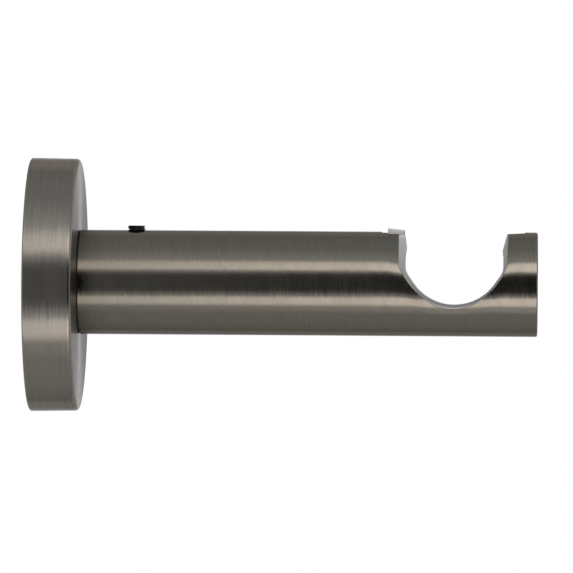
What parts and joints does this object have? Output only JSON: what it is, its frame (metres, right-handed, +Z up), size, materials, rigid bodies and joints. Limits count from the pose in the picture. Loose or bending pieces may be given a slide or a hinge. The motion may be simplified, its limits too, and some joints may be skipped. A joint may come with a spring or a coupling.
{
  "type": "curtain rod bracket",
  "caption": "Wall bracket for a curtain rod: a round cover cup, a tube arm on a hidden spigot, and a plastic lined notch across the arm's outer end that carries the rod.",
  "frame": {"origin": "on the wall plane, at the centre of the wall plate and midway between its two screw holes", "axes": "+X out from the wall along the arm, +Y along the rod, +Z up"},
  "size_m": [0.1067, 0.0534, 0.0534],
  "materials": {
    "brushed_anthracite": "circumferentially brushed dark nickel, satin",
    "plate_steel": "pale zinc plated pressed steel",
    "turned_steel": "turned bright steel",
    "black_screw": "blackened steel",
    "liner_plastic": "moulded grey plastic, matt"
  },
  "bodies": {
    "root": {"rosette": "brushed_anthracite", "wall_plate": "plate_steel", "spigot": "turned_steel", "spigot_screw": "black_screw", "arm": "brushed_anthracite", "arm_grub_screw": "black_screw", "cradle_liner": "liner_plastic", "end_cap": "brushed_anthracite"}
  },
  "joints": []
}
